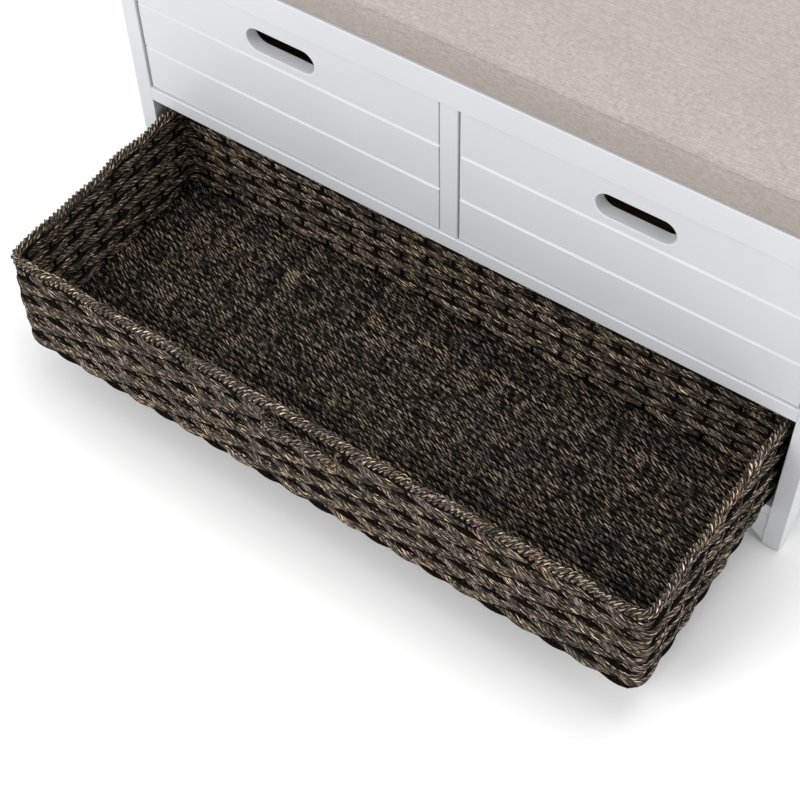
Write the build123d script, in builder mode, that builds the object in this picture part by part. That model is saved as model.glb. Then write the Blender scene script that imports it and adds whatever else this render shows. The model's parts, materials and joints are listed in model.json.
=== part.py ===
from build123d import *
import os

# Entryway bench: a painted wooden carcass with two plank-front drawers, a wide woven basket on
# a shelf below them, and a loose seat cushion. Sizes are in millimetres, +Z is up, +X is to the
# right when the front is faced, and the front faces -Y. The origin is on the floor, at
# the centre of the space that the bench takes up with its basket drawn out.

# ---- carcass ----
WIDTH = 825.0           # over the two side panels
DEPTH = 340.0           # front edge to back edge of a side panel
TOP_Z = 441.0           # top of the carcass, where the cushion lies
SIDE_T = 20.0           # side panels
TOP_T = 16.0            # board under the cushion
RAIL_H = 33.5           # top rail, seen from the front
RAIL_T = 18.0
PLANK_H = 59.0          # one plank of a drawer front; a front is three planks high
DECK_T = 17.5           # board under the drawers
DIVIDER_T = 20.5
SHELF_TOP = 65.0        # board that the basket stands on
SHELF_T = 16.0
BACK_T = 5.0            # back sheet
BACK_SET = 3.0          # back sheet, in from the back edges of the side panels
EASE = 1.0              # rounding of the edges that a hand meets
STILE_SET = 1.0         # divider, in from the front
SHELF_SET = 2.0         # shelf and foot brackets, in from the front

# ---- feet ----
GLIDE_H = 2.0
GLIDE_R = 5.5
GLIDE_NAIL_R = 1.2
GLIDE_NAIL = 12.0
TOE = 15.0              # length of a foot where it meets the floor
KNEE = (31.0, 14.0)     # where the foot stops flaring: distance from the edge, height
ARCH = (38.0, 46.0)     # top corner of the arch between two feet
BRACKET_W = 48.0
BRACKET_LAND = 3.0      # the bracket's thin end

# ---- drawers ----
GAP = 1.8               # round a drawer front
FRONT_SET = 2.5         # drawer front, in from the front
FRONT_T = 15.0
VEE_W = 4.2             # V-groove between two planks
VEE_D = 2.2
HOLE_W = 84.0           # hand-hole
HOLE_H = 28.0
HOLE_DROP = 33.5        # its middle, below the top rail
BOX_CLEAR = 5.0         # drawer box to carcass, each side
BOX_T = 12.0
BOX_Z = (238.0, 368.0)
BOX_L = 285.0
BOTTOM_T = 4.0
BOTTOM_Z = 246.0
BOTTOM_IN = 5.0         # how far the bottom sits in its grooves
RUNNER_W = 10.5
RUNNER_H = 14.0
RUNNER_Z = 303.5        # middle height
RUNNER_L = 282.0
RUNNER_PLAY = 0.5       # above and below a runner in its groove
GROOVE_D = 6.5

# ---- basket ----
BASKET_W = 772.0
BASKET_D = 292.0
BASKET_OUT = 254.0      # how far it stands out of the carcass at rest
BASKET_WALL = 12.0
BASKET_R = 24.0         # outer corner
RIM_TOP = 198.0
FLOOR_T = 7.0
LIFT = 0.3              # clearance under moving pieces
HOLD_W = 88.0           # hand-hold under the rim
HOLD_Z = (160.0, 182.0)
WIRE_R = 2.5
UPRIGHT_R = 2.0
UPRIGHTS = 6            # on each long side

# ---- cushion ----
CUSHION_T = 49.5
CUSHION_SET = 2.0       # in from the outside of the carcass, all round
CUSHION_R = 14.0        # plan corners
CUSHION_EDGE = 8.0      # top and bottom edges
COVER_T = 1.5

# ---- fittings ----
CAM_R = 7.5
CAM_D = 12.0
CAM_IN = 24.0           # cam centre, in from the end of its board
BOLT_R = 3.0
BOLT_IN = 10.0          # thread in the side panel
BOLT_PAST = 3.0         # head, past the middle of the cam
BOLT_PLAY = 0.1
DOWEL_R = 4.0
DOWEL_L = 30.0
DOWEL_IN_SIDE = 12.0
SMALL_DOWEL_R = 3.0
SMALL_DOWEL_L = 22.0
SMALL_DOWEL_IN_FRONT = 9.0
SCREW_R = 1.75
SCREW_HEAD_R = 3.5
SCREW_HEAD_H = 2.0
RUNNER_SCREW_L = 18.0
DIVIDER_SCREW_L = 45.0
BOX_SCREW_L = 35.0
PAN_R = 3.6
PAN_H = 1.8
PAN_L = 20.0

# ---- worked out from the above ----
FRONT = (BASKET_OUT - DEPTH) / 2
BACK = FRONT + DEPTH
BOARD_END = BACK - BACK_SET - BACK_T
INNER_X = WIDTH / 2 - SIDE_T
OPEN_TOP = TOP_Z - RAIL_H
DECK_TOP = OPEN_TOP - 3 * PLANK_H
DECK_Z = DECK_TOP - DECK_T
SHELF_Z = SHELF_TOP - SHELF_T
BAY_W = INNER_X - DIVIDER_T / 2
BAY_X = (INNER_X + DIVIDER_T / 2) / 2
BOX_W = BAY_W - 2 * BOX_CLEAR
BOX_FRONT = FRONT + FRONT_SET + FRONT_T
BOX_END = BOX_FRONT + BOX_L
BASKET_Y = FRONT - BASKET_OUT + BASKET_D / 2
BASKET_Z = SHELF_TOP + LIFT
RIM_R = BASKET_WALL / 2
RIM_Z = RIM_TOP - RIM_R
WALL_TOP = RIM_TOP - 2 * RIM_R
CENTRED_ABOVE = (Align.CENTER, Align.CENTER, Align.MAX)

os.makedirs("parts", exist_ok=True)


def save(piece, name):
    """Label a finished piece and write it as its own file."""
    piece.label = name
    export_step(piece, f"parts/{name}.step")


def pegs(planes, radius, length):
    """Round pegs with their middles on the given planes, along each plane's normal."""
    with BuildPart() as group:
        with Locations(*planes):
            Cylinder(radius, length)
    return group.part


def wood_screws(planes, length):
    """Countersunk screws whose heads lie flush in the given planes, pointing against the normals."""
    with BuildPart() as group:
        with Locations(*planes):
            Cylinder(SCREW_R, length, align=CENTRED_ABOVE)
            Cone(SCREW_R, SCREW_HEAD_R, SCREW_HEAD_H, align=CENTRED_ABOVE)
    return group.part


def board(x, y, z, fittings=(), eased=()):
    """A rectangular board between pairs of limits, bored for its fittings.

    eased names the edges to round: pairs of an axis and the extreme along it."""
    with BuildPart() as wood:
        with BuildSketch(Plane.XY.offset(z[0])):
            with Locations(((x[0] + x[1]) / 2, (y[0] + y[1]) / 2)):
                Rectangle(x[1] - x[0], y[1] - y[0])
        extrude(amount=z[1] - z[0])
        for along, towards in eased:
            edges = wood.edges().filter_by(along).group_by(Axis.Y)[0]
            fillet(edges.sort_by(towards)[-1:], EASE)
        for fitting in fittings:
            add(fitting, mode=Mode.SUBTRACT)
    return wood.part


# ---- fittings of the carcass: they come first, because the boards are bored for them ----

BOARD_MIDS = (TOP_Z - TOP_T / 2, DECK_Z + DECK_T / 2, SHELF_Z + SHELF_T / 2)
BOARD_UNDERS = (TOP_Z - TOP_T, DECK_Z, SHELF_Z)
CAM_YS = (FRONT + 55, FRONT + 285)
DOWEL_YS = (FRONT + 90, FRONT + 250)
DIVIDER_YS = (FRONT + 60, FRONT + 270)
SCREW_XS = (-350, -120, 120, 350)


def make_cam_bolts():
    """Steel bolts, screwed into the side panels, that the cams pull on."""
    length = BOLT_IN + CAM_IN + BOLT_PAST
    middle = INNER_X + BOLT_IN - length / 2
    planes = [
        Plane(origin=(side * middle, y, z), z_dir=(1, 0, 0))
        for side in (-1, 1) for y in CAM_YS for z in BOARD_MIDS
    ]
    return pegs(planes, BOLT_R, length)


def make_cam_locks():
    """Round cams let into the underside of each board, with a side hole for the bolt."""
    cam_planes = [
        Plane(origin=(side * (INNER_X - CAM_IN), y, z), z_dir=(0, 0, -1))
        for side in (-1, 1) for y in CAM_YS for z in BOARD_UNDERS
    ]
    hole_length = CAM_R + BOLT_PAST + 2 * BOLT_PLAY
    hole_x = INNER_X - CAM_IN - BOLT_PAST - BOLT_PLAY + hole_length / 2
    hole_planes = [
        Plane(origin=(side * hole_x, y, z), z_dir=(1, 0, 0))
        for side in (-1, 1) for y in CAM_YS for z in BOARD_MIDS
    ]
    with BuildPart() as cams:
        with Locations(*cam_planes):
            Cylinder(CAM_R, CAM_D, align=CENTRED_ABOVE)
        with Locations(*hole_planes):
            Cylinder(BOLT_R + BOLT_PLAY, hole_length, mode=Mode.SUBTRACT)
    return cams.part


def make_dowels():
    """Beech dowels: board ends and rail ends into the side panels, divider into the top."""
    x = INNER_X + DOWEL_IN_SIDE - DOWEL_L / 2
    planes = [
        Plane(origin=(side * x, y, z), z_dir=(1, 0, 0))
        for side in (-1, 1) for y in DOWEL_YS for z in BOARD_MIDS
    ]
    rail_middle = (FRONT + RAIL_T / 2, TOP_Z - RAIL_H / 2)
    planes += [Plane(origin=(side * x, *rail_middle), z_dir=(1, 0, 0)) for side in (-1, 1)]
    z = TOP_Z - TOP_T + 10 - DOWEL_L / 2
    planes += [Plane(origin=(0, y, z), z_dir=(0, 0, 1)) for y in DIVIDER_YS]
    return pegs(planes, DOWEL_R, DOWEL_L)


def make_runner_screws():
    """Two screws through each drawer runner into the panel behind it."""
    walls = ((-INNER_X, 1), (-DIVIDER_T / 2, -1), (DIVIDER_T / 2, 1), (INNER_X, -1))
    planes = [
        Plane(origin=(wall + way * RUNNER_W, FRONT + y, RUNNER_Z), z_dir=(way, 0, 0))
        for wall, way in walls for y in (60, 250)
    ]
    return wood_screws(planes, RUNNER_SCREW_L)


def make_divider_screws():
    """Screws up through the deck into the divider."""
    planes = [Plane(origin=(0, y, DECK_Z), z_dir=(0, 0, -1)) for y in DIVIDER_YS]
    return wood_screws(planes, DIVIDER_SCREW_L)


def make_back_panel_screws():
    """Pan-head screws that hold the back sheet to the edges of the three boards."""
    planes = [
        Plane(origin=(x, BACK - BACK_SET, z), z_dir=(0, 1, 0))
        for x in SCREW_XS for z in BOARD_MIDS
    ]
    with BuildPart() as screws:
        with Locations(*planes):
            Cylinder(SCREW_R, PAN_L, align=CENTRED_ABOVE)
            Cylinder(PAN_R, PAN_H, align=(Align.CENTER, Align.CENTER, Align.MIN))
    return screws.part


def make_foot_glides():
    """A plastic disc with a nail under each foot."""
    x = WIDTH / 2 - SIDE_T / 2
    spots = [(side * x, y) for side in (-1, 1) for y in (FRONT + TOE / 2, BACK - TOE / 2)]
    with BuildPart() as glides:
        with Locations(*spots):
            Cylinder(GLIDE_R, GLIDE_H, align=(Align.CENTER, Align.CENTER, Align.MIN))
            Cylinder(GLIDE_NAIL_R, GLIDE_NAIL, align=(Align.CENTER, Align.CENTER, Align.MIN))
    return glides.part


cam_bolts = make_cam_bolts()
cam_locks = make_cam_locks()
dowels = make_dowels()
runner_screws = make_runner_screws()
divider_screws = make_divider_screws()
back_panel_screws = make_back_panel_screws()
foot_glides = make_foot_glides()
save(cam_bolts, "cam_bolts")
save(cam_locks, "cam_locks")
save(dowels, "dowels")
save(runner_screws, "runner_screws")
save(divider_screws, "divider_screws")
save(back_panel_screws, "back_panel_screws")
save(foot_glides, "foot_glides")


# ---- carcass boards ----

def make_side_panel(side):
    """A side panel, cut between its feet in a flat arch with flared ends."""
    with BuildPart() as panel:
        with BuildSketch(Plane.YZ.offset(side * WIDTH / 2)):
            with Locations((FRONT, GLIDE_H)):
                Rectangle(DEPTH, TOP_Z - GLIDE_H, align=(Align.MIN, Align.MIN))
            with BuildSketch(mode=Mode.PRIVATE) as arch:
                with BuildLine():
                    Polyline(
                        (FRONT + TOE, GLIDE_H),
                        (FRONT + KNEE[0], KNEE[1]),
                        (FRONT + ARCH[0], ARCH[1]),
                        (BACK - ARCH[0], ARCH[1]),
                        (BACK - KNEE[0], KNEE[1]),
                        (BACK - TOE, GLIDE_H),
                        close=True,
                    )
                make_face()
                fillet(arch.vertices().group_by(Axis.Y)[-1], 8)
                knees = arch.vertices().filter_by(lambda v: abs(v.Y - KNEE[1]) < 1)
                fillet(knees, 12)
            add(arch.sketch, mode=Mode.SUBTRACT)
        extrude(amount=-side * SIDE_T)
        uprights = panel.edges().filter_by(Axis.Z).group_by(Axis.Y)[0]
        fillet(uprights, EASE)
        for fitting in (cam_bolts, dowels, runner_screws, foot_glides):
            add(fitting, mode=Mode.SUBTRACT)
    return panel.part


def make_divider():
    """The panel between the drawers: it stops under the rail, and behind it rises to the top."""
    with BuildPart() as divider:
        with BuildSketch(Plane.YZ):
            with BuildLine():
                Polyline(
                    (FRONT + STILE_SET, DECK_TOP),
                    (FRONT + STILE_SET, OPEN_TOP),
                    (FRONT + RAIL_T, OPEN_TOP),
                    (FRONT + RAIL_T, TOP_Z - TOP_T),
                    (BOARD_END, TOP_Z - TOP_T),
                    (BOARD_END, DECK_TOP),
                    close=True,
                )
            make_face()
        extrude(amount=DIVIDER_T / 2, both=True)
        fillet(divider.edges().filter_by(Axis.Z).group_by(Axis.Y)[0], EASE)
        for fitting in (dowels, runner_screws, divider_screws):
            add(fitting, mode=Mode.SUBTRACT)
    return divider.part


def make_foot_bracket(side, y):
    """A wedge beside a foot, under the shelf, with a slanted lower edge."""
    with BuildPart() as bracket:
        with BuildSketch(Plane.XZ.offset(-y)):
            with BuildLine():
                Polyline(
                    (side * INNER_X, BRACKET_LAND),
                    (side * INNER_X, SHELF_Z),
                    (side * (INNER_X - BRACKET_W), SHELF_Z),
                    (side * (INNER_X - BRACKET_W), SHELF_Z - BRACKET_LAND),
                    close=True,
                )
            make_face()
        extrude(amount=-RAIL_T)
    return bracket.part


ACROSS = (-INNER_X, INNER_X)
FRONT_EDGES = ((Axis.X, Axis.Z), (Axis.X, -Axis.Z))
for side, name in ((-1, "left"), (1, "right")):
    save(make_side_panel(side), f"side_panel_{name}")
    save(make_foot_bracket(side, FRONT + SHELF_SET), f"foot_bracket_front_{name}")
    save(make_foot_bracket(side, BOARD_END - RAIL_T), f"foot_bracket_back_{name}")
save(board(ACROSS, (FRONT, FRONT + RAIL_T), (OPEN_TOP, TOP_Z), (dowels,), FRONT_EDGES), "top_rail")
save(
    board(ACROSS, (FRONT + RAIL_T, BOARD_END), (TOP_Z - TOP_T, TOP_Z),
          (cam_bolts, cam_locks, dowels, back_panel_screws)),
    "top_panel",
)
save(
    board(ACROSS, (FRONT, BOARD_END), (DECK_Z, DECK_TOP),
          (cam_bolts, cam_locks, dowels, divider_screws, back_panel_screws), FRONT_EDGES),
    "drawer_deck",
)
save(
    board(ACROSS, (FRONT + SHELF_SET, BOARD_END), (SHELF_Z, SHELF_TOP),
          (cam_bolts, cam_locks, dowels, back_panel_screws), FRONT_EDGES),
    "basket_shelf",
)
save(
    board(ACROSS, (BOARD_END, BACK - BACK_SET), (SHELF_Z, TOP_Z), (back_panel_screws,)),
    "back_panel",
)
save(make_divider(), "divider_panel")


# ---- drawers and their runners ----

def make_runner(wall, way):
    """A hardwood strip on a wall of the drawer bay; way points into the bay."""
    x = sorted((wall, wall + way * RUNNER_W))
    y = (BOX_FRONT + LIFT, BOX_FRONT + LIFT + RUNNER_L)
    z = (RUNNER_Z - RUNNER_H / 2, RUNNER_Z + RUNNER_H / 2)
    return board(x, y, z, (runner_screws,))


def make_drawer_dowels(middle):
    """Four dowels from the drawer front into the ends of its sides."""
    x = BOX_W / 2 - BOX_T / 2
    y = BOX_FRONT - SMALL_DOWEL_IN_FRONT + SMALL_DOWEL_L / 2
    planes = [
        Plane(origin=(middle + side * x, y, z), z_dir=(0, 1, 0))
        for side in (-1, 1) for z in (BOX_Z[0] + 32, BOX_Z[1] - 24)
    ]
    return pegs(planes, SMALL_DOWEL_R, SMALL_DOWEL_L)


def make_drawer_screws(middle):
    """Four screws through the drawer sides into the ends of its back."""
    planes = [
        Plane(origin=(middle + side * BOX_W / 2, BOX_END - BOX_T / 2, z), z_dir=(side, 0, 0))
        for side in (-1, 1) for z in (BOX_Z[0] + 30, BOX_Z[1] - 20)
    ]
    return wood_screws(planes, BOX_SCREW_L)


def make_drawer_front(middle, fastened):
    """A front of three planks with V-grooves between them and a stadium-shaped hand-hole."""
    width = BAY_W - 2 * GAP
    bottom, top = DECK_TOP + GAP, OPEN_TOP - GAP
    face = FRONT + FRONT_SET
    with BuildPart() as front:
        with BuildSketch(Plane.XZ.offset(-BOX_FRONT)):
            with Locations((middle, (bottom + top) / 2)):
                Rectangle(width, top - bottom)
            with Locations((middle, OPEN_TOP - HOLE_DROP)):
                SlotOverall(HOLE_W, HOLE_H, mode=Mode.SUBTRACT)
        extrude(amount=FRONT_T)
        fillet(front.faces().sort_by(Axis.Y)[0].edges(), EASE)
        with BuildSketch(Plane.YZ.offset(middle)):
            for groove in (1, 2):
                z = DECK_TOP + groove * PLANK_H
                with BuildLine():
                    Polyline(
                        (face, z - VEE_W / 2), (face + VEE_D, z), (face, z + VEE_W / 2), close=True
                    )
                make_face()
        extrude(amount=width / 2, both=True, mode=Mode.SUBTRACT)
        with BuildSketch(Plane.XY.offset(BOTTOM_Z)):
            with Locations((middle, BOX_FRONT)):
                Rectangle(BOX_W - 2 * (BOX_T - BOTTOM_IN), 2 * BOTTOM_IN)
        extrude(amount=BOTTOM_T, mode=Mode.SUBTRACT)
        add(fastened, mode=Mode.SUBTRACT)
    return front.part


def make_drawer_side(middle, side, fastenings):
    """A drawer side, grooved outside for the runner and inside for the bottom."""
    outer = middle + side * BOX_W / 2
    inner = outer - side * BOX_T
    with BuildPart() as wall:
        with BuildSketch(Plane.XY.offset(BOX_Z[0])):
            with Locations(((outer + inner) / 2, (BOX_FRONT + BOX_END) / 2)):
                Rectangle(BOX_T, BOX_L)
        extrude(amount=BOX_Z[1] - BOX_Z[0])
        with BuildSketch(Plane.XZ.offset(-BOX_FRONT)):
            with Locations((outer, RUNNER_Z)):
                Rectangle(2 * GROOVE_D, RUNNER_H + 2 * RUNNER_PLAY)
            with Locations((inner, BOTTOM_Z + BOTTOM_T / 2)):
                Rectangle(2 * BOTTOM_IN, BOTTOM_T)
        extrude(amount=-BOX_L, mode=Mode.SUBTRACT)
        for fastening in fastenings:
            add(fastening, mode=Mode.SUBTRACT)
    return wall.part


for side, name in ((-1, "left"), (1, "right")):
    middle = side * BAY_X
    inside = BOX_W / 2 - BOX_T
    drawer_dowels = make_drawer_dowels(middle)
    drawer_screws = make_drawer_screws(middle)
    save(make_runner(side * INNER_X, -side), f"runner_{name}_outer")
    save(make_runner(side * DIVIDER_T / 2, side), f"runner_{name}_inner")
    save(drawer_dowels, f"drawer_{name}_dowels")
    save(drawer_screws, f"drawer_{name}_screws")
    save(make_drawer_front(middle, drawer_dowels), f"drawer_{name}_front")
    fastenings = (drawer_dowels, drawer_screws)
    save(make_drawer_side(middle, side, fastenings), f"drawer_{name}_side_outer")
    save(make_drawer_side(middle, -side, fastenings), f"drawer_{name}_side_inner")
    save(
        board((middle - inside, middle + inside), (BOX_END - BOX_T, BOX_END),
              (BOTTOM_Z + BOTTOM_T, BOX_Z[1]), (drawer_screws,)),
        f"drawer_{name}_back",
    )
    save(
        board((middle - inside - BOTTOM_IN, middle + inside + BOTTOM_IN),
              (BOX_FRONT - BOTTOM_IN, BOX_END), (BOTTOM_Z, BOTTOM_Z + BOTTOM_T)),
        f"drawer_{name}_bottom",
    )


# ---- basket ----

def hoop(z, radius):
    """A round rod bent into a rounded rectangle, running along the middle of the basket wall."""
    half_w = BASKET_W / 2 - RIM_R
    half_d = BASKET_D / 2 - RIM_R
    corner = BASKET_R - RIM_R
    with BuildPart() as rod:
        with BuildLine(Plane.XY.offset(z)) as route:
            FilletPolyline(
                (-half_w, BASKET_Y - half_d), (half_w, BASKET_Y - half_d),
                (half_w, BASKET_Y + half_d), (-half_w, BASKET_Y + half_d),
                radius=corner, close=True,
            )
        with BuildSketch(Plane(origin=route.wire() @ 0, z_dir=route.wire() % 0)):
            Circle(radius)
        sweep(path=route.wire())
    return rod.part


def make_basket_wire():
    """The welded wire frame: a hoop in the rim, a hoop in the foot of the wall, and uprights."""
    foot = BASKET_Z + FLOOR_T
    pitch = (BASKET_W - 2 * BASKET_R) / (UPRIGHTS - 1)
    rows = BASKET_D - BASKET_WALL
    with BuildPart() as wire:
        add(hoop(RIM_Z, WIRE_R))
        add(hoop(foot, WIRE_R))
        with BuildSketch(Plane.XY.offset(foot)):
            with Locations((0, BASKET_Y)):
                with GridLocations(pitch, rows, UPRIGHTS, 2):
                    Circle(UPRIGHT_R)
                with GridLocations(BASKET_W - BASKET_WALL, BASKET_D / 3, 2, 2):
                    Circle(UPRIGHT_R)
        extrude(amount=RIM_Z - foot)
    return wire.part


def make_basket_rim(wire):
    """The lashed rope along the top of the wall, over the wire."""
    with BuildPart() as rim:
        add(hoop(RIM_Z, RIM_R))
        add(wire, mode=Mode.SUBTRACT)
    return rim.part


def make_basket_walls(wire):
    """The woven wall, with a hand-hold through its front just under the rim."""
    front = BASKET_Y - BASKET_D / 2
    with BuildPart() as walls:
        with BuildSketch(Plane.XY.offset(BASKET_Z)):
            with Locations((0, BASKET_Y)):
                RectangleRounded(BASKET_W, BASKET_D, BASKET_R)
                RectangleRounded(
                    BASKET_W - 2 * BASKET_WALL, BASKET_D - 2 * BASKET_WALL,
                    BASKET_R - BASKET_WALL, mode=Mode.SUBTRACT,
                )
        extrude(amount=WALL_TOP - BASKET_Z)
        with BuildSketch(Plane.XZ.offset(-front)):
            with Locations((0, (HOLD_Z[0] + HOLD_Z[1]) / 2)):
                SlotOverall(HOLD_W, HOLD_Z[1] - HOLD_Z[0])
        extrude(amount=-BASKET_WALL, mode=Mode.SUBTRACT)
        add(wire, mode=Mode.SUBTRACT)
        add(hoop(RIM_Z, RIM_R), mode=Mode.SUBTRACT)
    return walls.part


def make_basket_floor():
    """The woven floor, inside the foot of the wall."""
    with BuildPart() as floor:
        with BuildSketch(Plane.XY.offset(BASKET_Z)):
            with Locations((0, BASKET_Y)):
                RectangleRounded(
                    BASKET_W - 2 * BASKET_WALL, BASKET_D - 2 * BASKET_WALL, BASKET_R - BASKET_WALL
                )
        extrude(amount=FLOOR_T)
    return floor.part


basket_wire = make_basket_wire()
save(basket_wire, "basket_wire")
save(make_basket_rim(basket_wire), "basket_rim")
save(make_basket_walls(basket_wire), "basket_walls")
save(make_basket_floor(), "basket_floor")


# ---- cushion ----

def make_cushion_block(inset):
    """The cushion's outer form, or the same form a little smaller all round."""
    with BuildPart() as block:
        with BuildSketch(Plane.XY.offset(TOP_Z + LIFT + inset)):
            with Locations((0, (FRONT + BACK) / 2)):
                RectangleRounded(
                    WIDTH - 2 * CUSHION_SET - 2 * inset, DEPTH - 2 * CUSHION_SET - 2 * inset,
                    CUSHION_R - inset,
                )
        extrude(amount=CUSHION_T - 2 * inset)
        rims = block.faces().filter_by(Axis.Z).edges()
        fillet(rims, CUSHION_EDGE - inset)
    return block.part


cushion_foam = make_cushion_block(COVER_T)
with BuildPart() as cushion_cover:
    add(make_cushion_block(0))
    add(cushion_foam, mode=Mode.SUBTRACT)
save(cushion_foam, "cushion_foam")
save(cushion_cover.part, "cushion_cover")
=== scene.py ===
import json
import math

import bpy
import numpy as np
from bpy.props import FloatProperty, FloatVectorProperty, IntProperty, PointerProperty
from mathutils import Matrix, Vector
from mathutils.bvhtree import BVHTree


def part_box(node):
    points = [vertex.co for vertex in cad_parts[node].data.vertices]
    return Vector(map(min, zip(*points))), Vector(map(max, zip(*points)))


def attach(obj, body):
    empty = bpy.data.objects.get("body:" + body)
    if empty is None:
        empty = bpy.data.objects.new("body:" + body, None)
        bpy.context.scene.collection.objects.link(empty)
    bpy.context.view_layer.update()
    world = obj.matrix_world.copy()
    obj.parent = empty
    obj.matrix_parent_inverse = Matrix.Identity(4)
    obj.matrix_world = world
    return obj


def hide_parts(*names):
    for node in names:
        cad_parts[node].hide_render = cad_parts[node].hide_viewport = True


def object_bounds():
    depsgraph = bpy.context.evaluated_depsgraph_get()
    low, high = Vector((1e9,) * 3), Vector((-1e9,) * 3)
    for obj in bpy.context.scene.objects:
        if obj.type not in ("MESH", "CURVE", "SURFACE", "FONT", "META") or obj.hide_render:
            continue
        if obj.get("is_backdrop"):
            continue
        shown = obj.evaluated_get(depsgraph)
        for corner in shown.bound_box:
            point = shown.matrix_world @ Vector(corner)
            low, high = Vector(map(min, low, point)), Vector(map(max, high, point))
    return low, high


bl_info = {
    "name": "Entryway Bench Looks",
    "version": (1, 0, 0),
    "blender": (4, 5, 0),
    "location": "View3D > Sidebar > Bench",
    "description": "Woven basket, linen cushion, paint and studio for the entryway bench",
    "category": "Object",
}

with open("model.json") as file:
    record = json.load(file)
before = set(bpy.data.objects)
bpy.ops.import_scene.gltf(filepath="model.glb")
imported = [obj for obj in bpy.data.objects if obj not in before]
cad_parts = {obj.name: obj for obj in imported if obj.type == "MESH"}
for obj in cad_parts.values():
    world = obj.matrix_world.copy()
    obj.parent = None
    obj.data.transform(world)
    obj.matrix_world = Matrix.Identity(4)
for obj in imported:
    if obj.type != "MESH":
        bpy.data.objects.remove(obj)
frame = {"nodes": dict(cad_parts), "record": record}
CAD_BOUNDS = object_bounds()
MM = 0.001


def hex_colour(code):
    """An sRGB hex colour as linear RGBA."""
    values = [int(code[i:i + 2], 16) / 255 for i in (1, 3, 5)]
    linear = [v / 12.92 if v <= 0.04045 else ((v + 0.055) / 1.055) ** 2.4 for v in values]
    return (*linear, 1.0)


# ---- sizes and colours that a user may change ----

class BenchLooks(bpy.types.PropertyGroup):
    """What the bench's soft and woven pieces are made to."""

    paint: FloatVectorProperty(
        name="Paint", description="Satin paint of the carcass", subtype="COLOR", size=4,
        default=hex_colour("#D9DADE"), min=0, max=1)
    linen: FloatVectorProperty(
        name="Linen", description="Middle colour of the cushion cover", subtype="COLOR", size=4,
        default=hex_colour("#A59C95"), min=0, max=1)
    rope: FloatVectorProperty(
        name="Rope", description="Middle colour of the dyed seagrass", subtype="COLOR", size=4,
        default=hex_colour("#7B6F66"), min=0, max=1)
    stakes: IntProperty(
        name="Stakes", description="Uprights that the wall ropes pass round; an even number",
        default=60, min=20, max=120)
    rows: IntProperty(
        name="Wall rows", description="Rows of rope bundles up the wall", default=8, min=3, max=14)
    cords: IntProperty(
        name="Cords in a bundle", description="Cords side by side in one row", default=4, min=1,
        max=6)
    cord: FloatProperty(
        name="Cord", description="Diameter of a wall cord", subtype="DISTANCE", unit="LENGTH",
        default=4.3 * MM)
    floor_cord: FloatProperty(
        name="Floor cord", description="Diameter of a floor cord", subtype="DISTANCE",
        unit="LENGTH", default=4.1 * MM)
    floor_pitch: FloatProperty(
        name="Floor pitch", description="From one floor cord to the next", subtype="DISTANCE",
        unit="LENGTH", default=3.6 * MM)
    stitch: FloatProperty(
        name="Stitch", description="From one stitch of the rim's lashing to the next",
        subtype="DISTANCE", unit="LENGTH", default=6.2 * MM)
    swell: FloatProperty(
        name="Swell", description="Most that the cushion cover may puff out", subtype="DISTANCE",
        unit="LENGTH", default=4.5 * MM)


# ---- materials ----

def add_node(tree, kind, settings=None, inputs=None):
    """Add a node, set its properties, and fill or link its inputs. stops fills a colour ramp."""
    node = tree.nodes.new(kind)
    for key, value in (settings or {}).items():
        if key == "stops":
            ramp = node.color_ramp
            while len(ramp.elements) < len(value):
                ramp.elements.new(0.5)
            for element, (position, colour) in zip(ramp.elements, value):
                element.position = position
                element.color = colour
        else:
            setattr(node, key, value)
    for key, value in (inputs or {}).items():
        if isinstance(value, bpy.types.NodeSocket):
            tree.links.new(value, node.inputs[key])
        else:
            node.inputs[key].default_value = value
    return node


def new_material(name, **shader_values):
    """A material with one Principled shader, and its node tree and shader."""
    material = bpy.data.materials.new(name)
    material.use_nodes = True
    tree = material.node_tree
    shader = tree.nodes["Principled BSDF"]
    for key, value in shader_values.items():
        shader.inputs[key.replace("_", " ")].default_value = value
    return material, tree, shader


def grey(value):
    return (value, value, value, 1.0)


def scaled(colour, factor):
    return (colour[0] * factor, colour[1] * factor, colour[2] * factor, 1.0)


def satin_paint(colour):
    """Sprayed satin lacquer on board: even and cool, with a fine orange peel that softens
    highlights, and a faint unevenness of tone."""
    material, tree, shader = new_material("satin_sprayed_paint", Roughness=0.42)
    shader.inputs["Specular IOR Level"].default_value = 0.45
    place = add_node(tree, "ShaderNodeTexCoord").outputs["Object"]
    cloud = add_node(
        tree, "ShaderNodeTexNoise", inputs={"Vector": place, "Scale": 1 / 0.12, "Detail": 3.0})
    tone = add_node(
        tree, "ShaderNodeValToRGB",
        {"stops": [(0.3, scaled(colour, 0.955)), (0.7, colour)]},
        {"Fac": cloud.outputs["Fac"]})
    peel = add_node(
        tree, "ShaderNodeTexNoise", inputs={"Vector": place, "Scale": 1 / 0.0028, "Detail": 2.0})
    bump = add_node(
        tree, "ShaderNodeBump",
        inputs={"Strength": 0.12, "Distance": 0.25 * MM, "Height": peel.outputs["Fac"]})
    tree.links.new(tone.outputs["Color"], shader.inputs["Base Color"])
    tree.links.new(bump.outputs["Normal"], shader.inputs["Normal"])
    return material


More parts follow.
